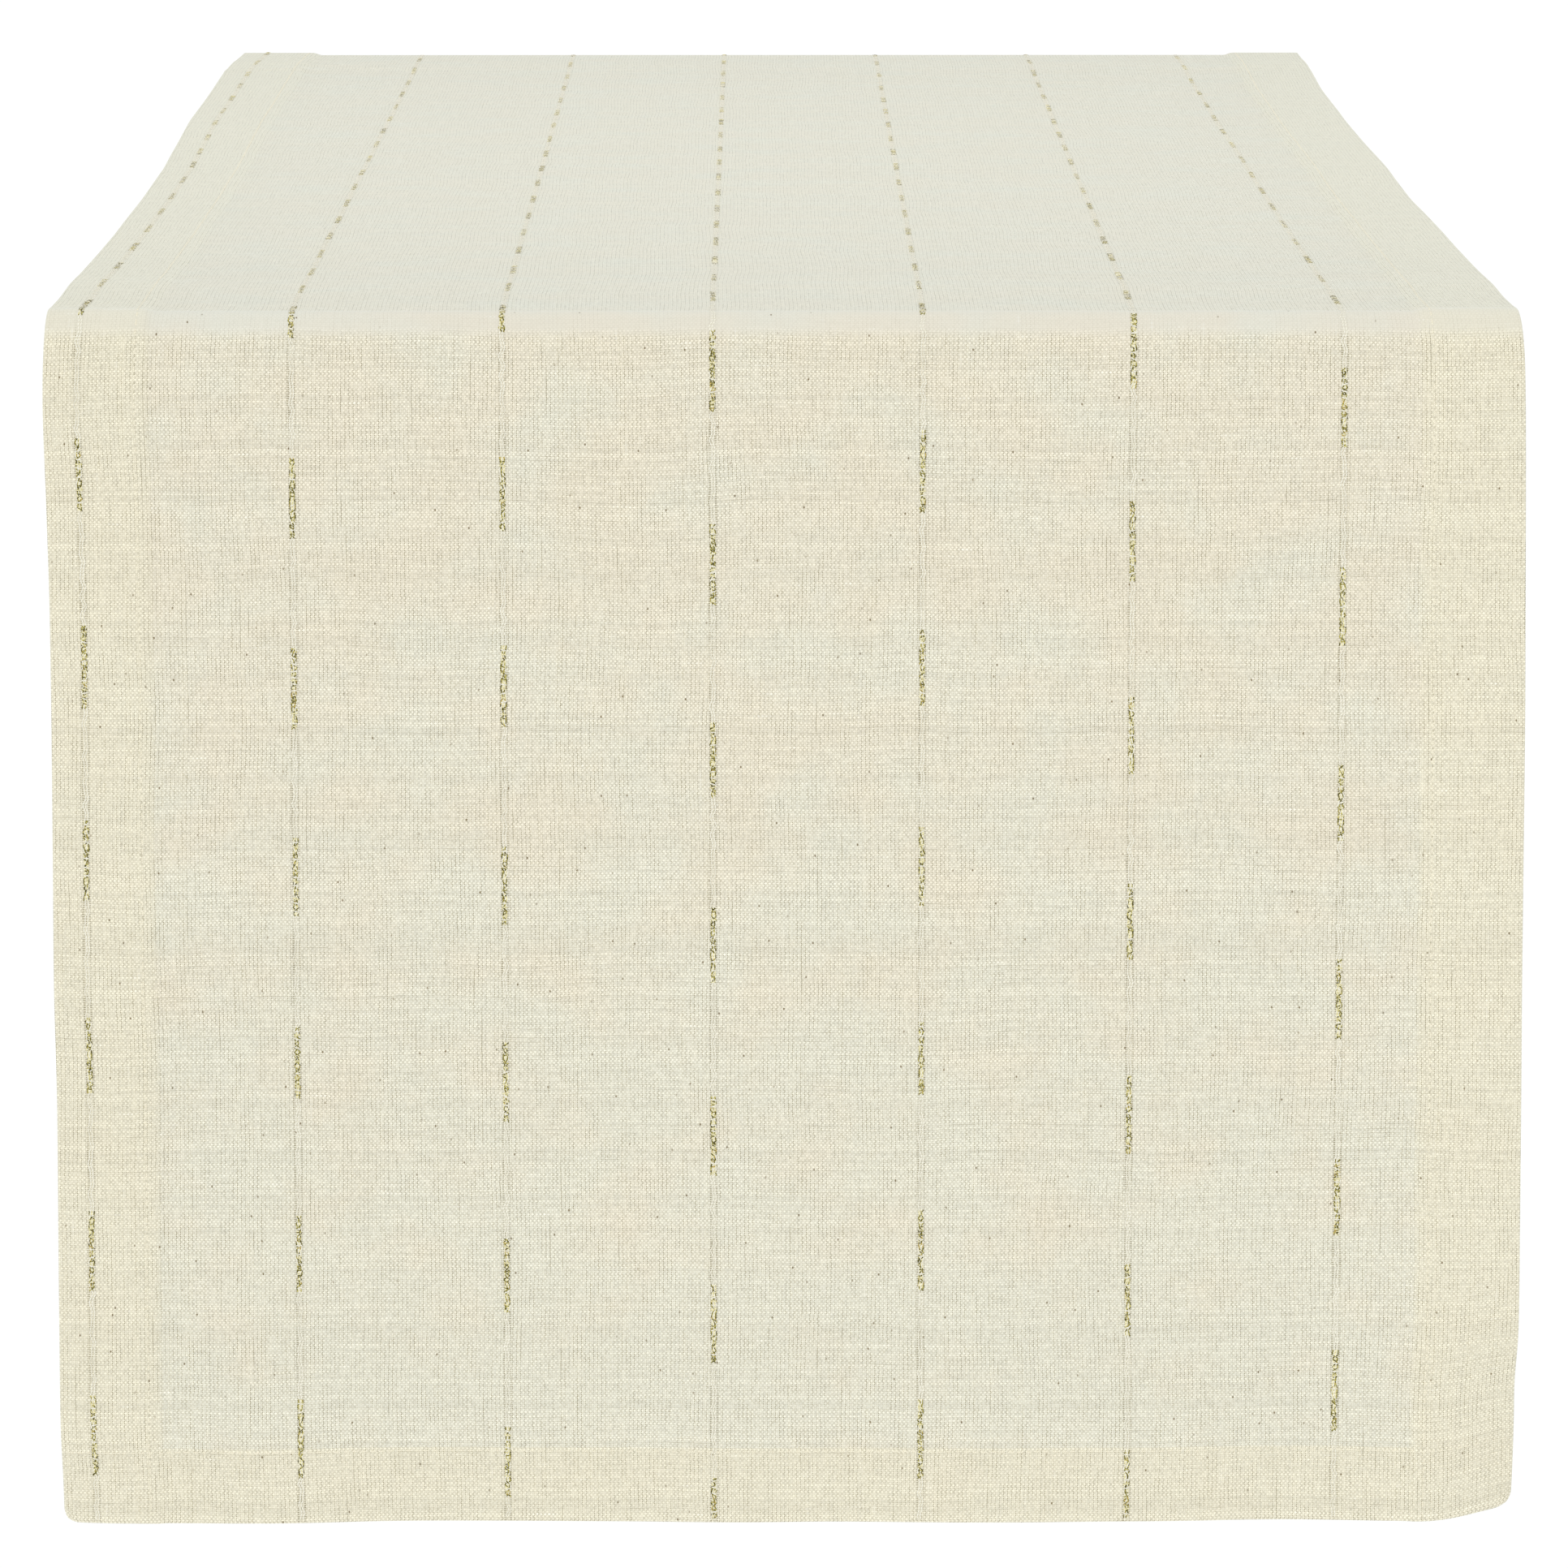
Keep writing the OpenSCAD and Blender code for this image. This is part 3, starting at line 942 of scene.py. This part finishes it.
@dataclass
class Seams:
    """The rows of lockstitches that hold the hems, on the face and on the reverse."""

    plan: ClothPlan
    drape: Drape
    thread: bpy.types.Material
    length: float = 2.35 * MM
    width: float = 0.5 * MM
    height: float = 0.34 * MM
    stitch_points: np.ndarray = field(init=False, repr=False)
    stitch_faces: list = field(init=False, repr=False)

    def __post_init__(self) -> None:
        """Models one stitch, which every row copies."""
        bpy.ops.mesh.primitive_uv_sphere_add(segments=6, ring_count=6, radius=0.5,
                                             rotation=(math.pi / 2, 0, 0))
        stitch = bpy.context.active_object
        bpy.ops.object.transform_apply(location=True, rotation=True, scale=True)
        bpy.ops.object.mode_set(mode="EDIT")
        bpy.ops.mesh.select_all(action="SELECT")
        bpy.ops.transform.resize(value=(self.width, self.length, self.height))
        bpy.ops.object.mode_set(mode="OBJECT")
        self.stitch_points = np.array([tuple(point.co) for point in stitch.data.vertices])
        self.stitch_faces = [tuple(face.vertices) for face in stitch.data.polygons]
        bpy.data.objects.remove(stitch, do_unlink=True)

    def sew(self, shell: Shell, end: End, u: float, v: float, n: float, turned: bool) -> None:
        """Adds one stitch to a row.

        Args:
            shell: The row in the making.
            end: The half of the runner.
            u: The way across of the stitch's middle.
            v: The way along of the stitch's middle.
            n: The height of the stitch's middle.
            turned: Whether the stitch lies across the cloth.
        """
        local = self.stitch_points
        ends = np.abs(local[:, 1]) / (self.length / 2)
        dip = -math.copysign(0.12 * MM, n) * ends ** 2
        across, along = (local[:, 1], local[:, 0]) if turned else (local[:, 0], local[:, 1])
        points = self.drape.place(end, u + across, v + along, n + local[:, 2] + dip)
        lay = np.stack([np.arctan2(local[:, 0], local[:, 2]) / math.tau, v + u + local[:, 1]], axis=-1)
        shell.add(points, self.stitch_faces, lay)

    def make_side_row(self, end: End, edge: Edge) -> bpy.types.Object:
        """Makes one half of the row along a side hem.

        Args:
            end: The half of the runner.
            edge: The long edge.

        Returns:
            The row.
        """
        shell = Shell()
        u = edge.sign * self.plan.seam_u
        face = float(self.drape.face(np.array(u)))
        pitch = self.plan.stitch_pitch
        last = int((self.plan.half_length - 2.5 * MM) / pitch)
        for index in range(last):
            v = (index + 0.5) * pitch
            shift = 0.06 * MM * math.sin(index * 1.7) + 0.05 * MM * math.sin(index * 0.31)
            self.sew(shell, end, u + shift, v, face, False)
            if v < self.plan.half_length - self.plan.end_hem - 1.5 * MM:
                self.sew(shell, end, u + shift, v, -0.02 * MM, False)
        return self._close(shell, f"seam_{edge.value}_{end.value}")

    def make_end_row(self, end: End) -> bpy.types.Object:
        """Makes the row along an end hem.

        Args:
            end: The half of the runner.

        Returns:
            The row.
        """
        shell = Shell()
        pitch = self.plan.stitch_pitch
        count = int(2 * (self.plan.half_width - 1.5 * MM) / pitch)
        for index in range(count):
            u = (index + 0.5 - count / 2) * pitch
            face = float(self.drape.face(np.array(u)))
            shift = 0.07 * MM * math.sin(index * 1.3 + 0.5)
            self.sew(shell, end, u, self.plan.seam_v + shift, face, True)
            self.sew(shell, end, u, self.plan.seam_v + shift, -2 * self.plan.ply - 0.02 * MM, True)
        return self._close(shell, f"seam_end_{end.value}")

    def _close(self, shell: Shell, name: str) -> bpy.types.Object:
        """Builds a row and turns its faces outwards."""
        piece = shell.build(name, [self.thread], 80.0)
        face_outwards(piece)
        return piece


@dataclass(frozen=True)
class StripePlan:
    """One stripe: where it lies and where its gold dashes fall."""

    number: int
    first_gold: float
    period: float
    fine: float
    fold_at: float = 531.6
    stray: float = 1.2
    shortest_half: float = 11.3
    longest_half: float = 13.2

    @property
    def u(self) -> float:
        """The stripe's way across."""
        return FIRST_STRIPE + STRIPE_SETT * (self.number - 1)

    def dashes(self) -> list[tuple[float, float]]:
        """The gold dashes along the whole runner.

        Returns:
            The start and stop of each dash, with the front positive.
        """
        dice = np.random.default_rng(40 + self.number)
        found = []
        for index in range(-26, 8):
            centre = self.fold_at + self.first_gold + self.period * index
            centre = (centre + dice.uniform(-self.stray, self.stray)) * MM
            half = dice.uniform(self.shortest_half, self.longest_half) * MM
            found.append((centre - half, centre + half))
        return found


@dataclass
class Stripes:
    """The seven stripes: a white yarn woven in, with dashes of looped gold over it."""

    plan: ClothPlan
    drape: Drape
    yarn: bpy.types.Material
    gold: bpy.types.Material
    tinted: bpy.types.Material
    pale_top_gold: bpy.types.Material
    yarn_width: float = 0.38 * MM
    yarn_height: float = 0.22 * MM
    yarn_apart: float = 0.42 * MM
    strand_width: float = 0.40 * MM
    strand_height: float = 0.09 * MM
    swing: float = 0.80 * MM
    bead: float = 1.35 * MM
    bare_share: float = 0.28
    gold_share: float = 0.26

    def strand(self, shell: Shell, end: End, path: np.ndarray, width: np.ndarray, height: float,
               sides: int, finish: int) -> None:
        """Adds a closed strand that follows a path on the cloth.

        Args:
            shell: The stripe in the making.
            end: The half of the runner.
            path: Rows of the way across, the way along and the height.
            width: The strand's width at each point of the path.
            height: The strand's height.
            sides: How many sides the strand has.
            finish: The number of its finish.
        """
        count = len(path)
        ahead = np.gradient(path[:, :2], axis=0)
        ahead = ahead / np.maximum(np.linalg.norm(ahead, axis=1, keepdims=True), 1e-9)
        beside = np.stack([ahead[:, 1], -ahead[:, 0]], axis=-1)
        angles = np.arange(sides) * math.tau / sides + math.pi / sides
        reach = np.cos(angles)[None, :] * width[:, None] / 2
        u = path[:, None, 0] + beside[:, None, 0] * reach
        v = path[:, None, 1] + beside[:, None, 1] * reach
        n = path[:, None, 2] + (np.sin(angles) * height / 2)[None, :]
        points = self.drape.place(end, u.ravel(), v.ravel(), n.ravel())
        gone = np.concatenate([[0.0], np.cumsum(np.linalg.norm(np.diff(path[:, :2], axis=0), axis=1))])
        lay = np.stack([np.tile(np.abs(angles / math.tau - 0.5), count),
                        np.repeat(gone + path[0, 1], sides)], axis=-1)
        faces = []
        for low in range(0, (count - 1) * sides, sides):
            for side in range(sides):
                other = (side + 1) % sides
                faces.append((low + side, low + other, low + sides + other, low + sides + side))
        faces.append(tuple(range(sides - 1, -1, -1)))
        faces.append(tuple(range((count - 1) * sides, count * sides)))
        shell.add(points, faces, lay, finish)

    def plain(self, shell: Shell, end: End, stripe: StripePlan) -> None:
        """Adds the white yarn on the face and on the reverse."""
        v = self.stop_walk(1.0 * MM)
        wander = MM * (0.38 * np.sin(v / 0.0013 + 2.4 * np.sin(v / 0.011) + stripe.number)
                       + 0.20 * np.sin(v / 0.0007 + 1.7 * np.sin(v / 0.006)))
        face = self.drape.face(np.full_like(v, stripe.u))
        swell = 1.0 + 0.22 * np.sin(v / 0.0061 + 2 * stripe.number) + 0.16 * np.sin(v / 0.0023)
        width = self.yarn_width * swell
        width[0], width[-1] = width[1], 0.3 * width[-1]
        for way in (-1.0, 1.0):
            u = stripe.u + way * self.yarn_apart + wander
            path = np.stack([u, v, face + 0.01 * MM], axis=-1)
            self.strand(shell, end, path, width, self.yarn_height, 6, 0)
            if abs(stripe.u) < self.plan.step_start:
                inner = v < self.plan.half_length - self.plan.end_hem - 1 * MM
                path = np.stack([u, v, np.full_like(v, 0.0)], axis=-1)[inner]
                self.strand(shell, end, path, width[inner], self.yarn_height, 6, 0)

    def stop_walk(self, stride: float) -> np.ndarray:
        """The points of a strand along a half, closer over the table's edge.

        Args:
            stride: The stride on the straight parts.

        Returns:
            The way along of each point.
        """
        plan = self.plan
        return steps((0.0, 1.0), (plan.flat_half, stride), (plan.hang_start, 0.8 * MM),
                     (plan.half_length - 1.0 * MM, stride))

    def dash(self, shell: Shell, end: End, stripe: StripePlan, start: float, stop: float,
             seed: int) -> None:
        """Adds one dash of gold loops with cream bars between them.

        Args:
            shell: The stripe in the making.
            end: The half of the runner.
            stripe: The stripe's plan.
            start: Where the dash starts along the half.
            stop: Where the dash stops along the half.
            seed: The seed of the dash's small irregularities.
        """
        dice = np.random.default_rng(seed)
        pitch = self.bead if dice.random() > stripe.fine else self.bead * 0.75
        count = max(2, round((stop - start) / pitch))
        knots = np.linspace(start, stop, count + 1)
        flat = stop < self.plan.flat_half
        # On the flat top the gold takes a paler, softer copy of its finish, painted for the grazing light
        # there.
        film = 3 if flat else 1
        slim = dice.uniform(0.60, 1.05) if flat else 1.0
        v = np.linspace(start, stop, count * 5 + 1)
        u = np.full_like(v, stripe.u)
        face = self.drape.face(u)
        bed = np.stack([u + 0.08 * MM * np.sin(v / 0.0009), v, face + 0.005 * MM], axis=-1)[::2]
        self.strand(shell, end, bed, np.full(len(bed), 1.60 * MM), 0.07 * MM, 5, 2)
        side = np.where(dice.random(count + 1) < 0.62, -1.0, 1.0).cumprod()
        share = np.interp(v, knots, np.arange(count + 1))
        left = np.clip(share.astype(int), 0, count - 1)
        part = ease(share - left, 0.0, 1.0)
        for way, height in ((1.0, 0.045), (-1.0, 0.075)):
            swing = slim * way * side * self.swing * dice.uniform(0.62, 1.15, count + 1)
            swing = swing * np.where(dice.random(count + 1) < 0.16, -0.2, 1.0)
            across = swing[left] * (1 - part) + swing[left + 1] * part
            lift = height + 0.015 * np.cos(math.pi * share + way)
            path = np.stack([u + across, v, face + lift * MM], axis=-1)
            width = slim * self.strand_width * (1.0 + 0.18 * np.sin(v / 0.0007 + seed))
            self.strand(shell, end, path, width, self.strand_height, 5, film)
        for index in range(1, count):
            draw = dice.random()
            if draw < self.bare_share:
                continue
            middle = knots[index] + dice.uniform(-0.15, 0.15) * MM
            golden = draw > 1.0 - self.gold_share
            tall = slim * (1.0 if golden else 2.1)
            half = (0.82 if golden else 1.02) * MM * dice.uniform(0.80, 1.12)
            bar_u = stripe.u + np.linspace(-half, half, 5)
            hump = np.array([-0.02, 0.075, 0.10, 0.075, -0.02]) * MM * tall
            tilt = dice.uniform(-0.35, 0.35) * MM * np.linspace(-1, 1, 5)
            path = np.stack([bar_u, middle + tilt, self.drape.face(bar_u) + hump], axis=-1)
            thick = (0.38 if golden else 0.42) * MM * dice.uniform(0.8, 1.2)
            taper = np.array([0.6, 1.0, 1.05, 1.0, 0.6])
            cream = 0 if index % 2 else 2
            finish = film if golden else cream
            self.strand(shell, end, path, thick * taper, self.strand_height * tall, 5, finish)

    def make(self, end: End, stripe: StripePlan) -> bpy.types.Object:
        """Makes one half of a stripe.

        Args:
            end: The half of the runner.
            stripe: The stripe's plan.

        Returns:
            The stripe.
        """
        shell = Shell()
        self.plain(shell, end, stripe)
        limit = self.plan.half_length - 1.5 * MM
        for index, (low, high) in enumerate(stripe.dashes()):
            if end is End.BACK:
                low, high = -high, -low
            low, high = max(low, 0.0), min(high, limit)
            if high - low > 2 * MM:
                self.dash(shell, end, stripe, low, high, 1000 * stripe.number + index)
        finishes = [self.yarn, self.gold, self.tinted, self.pale_top_gold]
        piece = shell.build(f"stripe_{stripe.number}_{end.value}", finishes, 80.0)
        face_outwards(piece)
        return piece


class Runner:
    """The whole runner: cloth, hems, seams and stripes, with the end hems and their seams fixed to the
    hanging bodies.
    """

    stripe_plans: tuple = (
        StripePlan(1, 48.2, 61.4, 0.15), StripePlan(2, 55.6, 59.9, 0.10), StripePlan(3, 54.7, 61.9, 0.15),
        StripePlan(4, 17.0, 60.3, 0.55), StripePlan(5, 48.2, 61.7, 0.10), StripePlan(6, 10.8, 59.9, 0.25),
        StripePlan(7, 27.5, 62.7, 0.35),
    )

    def __init__(self) -> None:
        """Lays the plan out and mixes the finishes."""
        self.plan = ClothPlan()
        self.drape = Drape(self.plan)
        weave = PlainWeave("woven_cotton", True).dress(self.plan)
        hem_weave = PlainWeave("hem_cotton", False).dress(self.plan)
        thread = SpunYarn("sewing_thread", srgb(246, 240, 219), srgb(222, 213, 184), 0.7 * MM).dress()
        yarn = SpunYarn("stripe_yarn", srgb(243, 240, 225), srgb(214, 208, 186)).dress()
        tinted = SpunYarn("tinted_yarn", srgb(240, 233, 190), srgb(196, 186, 128)).dress()
        gold = MetallicYarn("metallic_yarn").dress()
        # A paler, softer copy of the gold for the flat top, painted for the grazing light there.
        pale_top_gold = MetallicYarn("pale_top_metallic_yarn", srgb(216, 210, 166), srgb(132, 126, 84),
                            srgb(198, 188, 136)).dress()
        self.cloth = Cloth(self.plan, self.drape, weave, hem_weave)
        self.seams = Seams(self.plan, self.drape, thread)
        self.stripes = Stripes(self.plan, self.drape, yarn, gold, tinted, pale_top_gold)

    def fold_over(self, piece: bpy.types.Object) -> None:
        """Bakes a piece's placement into its mesh.

        Args:
            piece: The piece.
        """
        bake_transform(piece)

    def report(self, piece: bpy.types.Object) -> None:
        """Logs a piece's name and face count."""
        log.info("%s: %d faces", piece.name, len(piece.data.polygons))

    def build(self) -> None:
        """Builds both halves in order."""
        for end in End:
            self.build_half(end)

    def build_half(self, end: End) -> None:
        """Builds one half and hides the model's parts that it stands in for.

        Args:
            end: The half of the runner.
        """
        name = end.value
        cloth = self.cloth.make_half(end)
        self.fold_over(cloth)
        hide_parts("top_panel", f"{name}_fold", f"{name}_panel")
        self.report(cloth)
        trims = []
        for edge in Edge:
            hem = self.cloth.make_side_hem(end, edge)
            self.fold_over(hem)
            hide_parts(f"top_hem_{edge.value}", f"{name}_hem_{edge.value}")
            row = self.seams.make_side_row(end, edge)
            self.fold_over(row)
            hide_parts(f"top_stitch_{edge.value}", f"{name}_stitch_{edge.value}")
            trims += [hem, row]
        hem = self.cloth.make_end_hem(end)
        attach(hem, end.drop)
        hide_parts(f"{name}_hem_end")
        row = self.seams.make_end_row(end)
        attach(row, end.drop)
        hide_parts(f"{name}_stitch_end")
        trims += [hem, row]
        for stripe in self.stripe_plans:
            piece = self.stripes.make(end, stripe)
            self.fold_over(piece)
            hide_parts(f"top_stripe_{stripe.number}", f"{name}_stripe_{stripe.number}")
            trims.append(piece)
        for piece in trims:
            self.report(piece)


@dataclass(frozen=True)
class Studio:
    """The pale floor, the soft light and the camera."""

    floor_z: float = -1.15
    floor_half: float = 60.0
    camera_place: tuple = (-0.0095, -3.1469, 0.2771)
    camera_down: float = 9.217
    camera_aside: float = 0.202
    lens: float = 194.8
    sky_strength: float = 0.795
    sun_energy: float = 0.80
    sun_spread: float = 34.0
    panel_energy: float = 0.62
    over_energy: float = 0.50

    def set_floor(self) -> None:
        """Lays the floor."""
        bpy.ops.object.select_all(action="DESELECT")
        bpy.ops.mesh.primitive_plane_add(size=2 * self.floor_half, location=(0, 0, self.floor_z))
        floor = bpy.context.active_object
        floor.name = "floor"
        r = Recipe("pale_floor")
        grain = r.noise(r.node("ShaderNodeTexCoord").outputs["Object"], 3.0, 2.0)
        colour = r.mix(grain, srgb(254, 254, 254), srgb(255, 255, 255))
        floor.data.materials.append(r.finish(colour, grain, 0.1 * MM, 0.1, Roughness=0.9,
                                             Specular_IOR_Level=0.1, Emission_Strength=0.06,
                                             Emission_Color=(1.0, 1.0, 1.0, 1.0)))

    def hang_lamp(self, name: str, kind: str, energy: float, place: tuple,
                  turn: tuple) -> tuple[bpy.types.Light, bpy.types.Object]:
        """Hangs one lamp.

        Args:
            name: The lamp's name.
            kind: Blender's kind of light.
            energy: Its strength.
            place: Where it hangs.
            turn: Its turn in degrees.

        Returns:
            The lamp and its holder.
        """
        lamp = bpy.data.lights.new(name, kind)
        lamp.energy = energy
        holder = bpy.data.objects.new(name, lamp)
        holder.location = place
        holder.rotation_euler = [math.radians(angle) for angle in turn]
        bpy.context.collection.objects.link(holder)
        return lamp, holder

    def hang_disk(self, name: str, energy: float, size: float, place: tuple, turn: tuple) -> None:
        """Hangs a round lamp that the camera doesn't see."""
        lamp, holder = self.hang_lamp(name, "AREA", energy, place, turn)
        lamp.shape = "DISK"
        lamp.size = size
        holder.visible_camera = False

    def set_lights(self) -> None:
        """Sets the even sky, a wide sun, a disk low at each end and a small one over the middle."""
        world = bpy.data.worlds.new("studio")
        world.use_nodes = True
        sky = world.node_tree.nodes["Background"]
        sky.inputs["Color"].default_value = (1.0, 1.0, 1.0, 1.0)
        sky.inputs["Strength"].default_value = self.sky_strength
        bpy.context.scene.world = world
        sun, _ = self.hang_lamp("key", "SUN", self.sun_energy, (0.0, 0.0, 0.0), (40.0, 0.0, -24.0))
        sun.color = (0.97, 0.99, 1.0)
        sun.angle = math.radians(self.sun_spread)
        self.hang_disk("front_panel_light", self.panel_energy, 1.0, (0.5, -1.7, -0.2), (90.0, 0.0, 23.0))
        self.hang_disk("back_panel_light", self.panel_energy, 1.0, (-0.5, 1.7, -0.2), (90.0, 0.0, 203.0))
        self.hang_disk("over", self.over_energy, 0.3, (0.0, 0.0, 0.7), (0.0, 0.0, 0.0))
        bpy.context.scene.view_settings.view_transform = "Standard"

    def set_camera(self) -> None:
        """Sets the camera a little above the table, looking along the runner."""
        lens = bpy.data.cameras.new("camera")
        lens.lens = self.lens
        lens.sensor_width = 36.0
        lens.clip_end = 200.0
        holder = bpy.data.objects.new("camera", lens)
        holder.location = self.camera_place
        holder.rotation_euler = (math.radians(90.0 - self.camera_down), 0.0, math.radians(-self.camera_aside))
        bpy.context.collection.objects.link(holder)
        bpy.context.scene.camera = holder


def main() -> None:
    """Builds the runner and its studio."""
    logging.basicConfig(level=logging.INFO, format="%(name)s %(message)s")
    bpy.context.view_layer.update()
    bpy.ops.object.select_all(action="DESELECT")
    studio = Studio()
    studio.set_camera()
    studio.set_floor()
    studio.set_lights()
    Runner().build()


if __name__ == "__main__":
    main()
